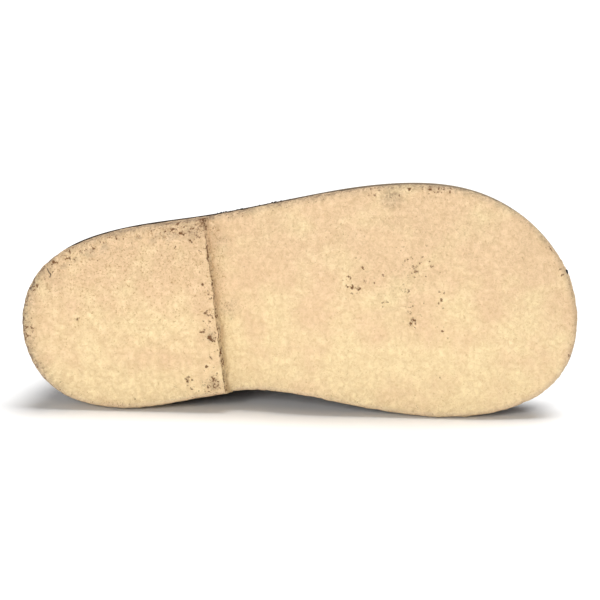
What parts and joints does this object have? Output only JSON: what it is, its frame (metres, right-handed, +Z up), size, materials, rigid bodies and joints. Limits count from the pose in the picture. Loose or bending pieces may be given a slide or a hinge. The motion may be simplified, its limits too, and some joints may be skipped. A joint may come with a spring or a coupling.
{
  "type": "child's lace-up shoe",
  "caption": "Child's low lace-up shoe lying on its medial side: hollow leather upper with lapped quarters, tongue and lace, stitched down on a flat crepe rubber sole with a heel lift.",
  "frame": {"origin": "on the floor under the middle of the shoe's box as it lies on its medial side", "axes": "+X from heel to toe, +Z up from the floor towards the lateral side, -Y out of the sole's tread"},
  "size_m": [0.1704, 0.0718, 0.0707],
  "materials": {
    "crepe": "natural crepe, lumpy and matte",
    "upper_leather": "dark brown, oiled, matte",
    "lining_leather": "undyed tan, smooth",
    "eyelet_metal": "dark antique brass",
    "lace_cotton": "round braided cotton, waxed"
  },
  "bodies": {
    "root": {"outsole": "crepe", "heel": "crepe", "upper": "upper_leather", "tongue": "upper_leather", "insole": "lining_leather", "eyelet_medial_1": "eyelet_metal", "eyelet_medial_2": "eyelet_metal", "eyelet_medial_3": "eyelet_metal", "eyelet_lateral_1": "eyelet_metal", "eyelet_lateral_2": "eyelet_metal", "eyelet_lateral_3": "eyelet_metal", "lace_bar_1": "lace_cotton", "lace_bar_2": "lace_cotton", "lace_bar_3": "lace_cotton"}
  },
  "joints": []
}
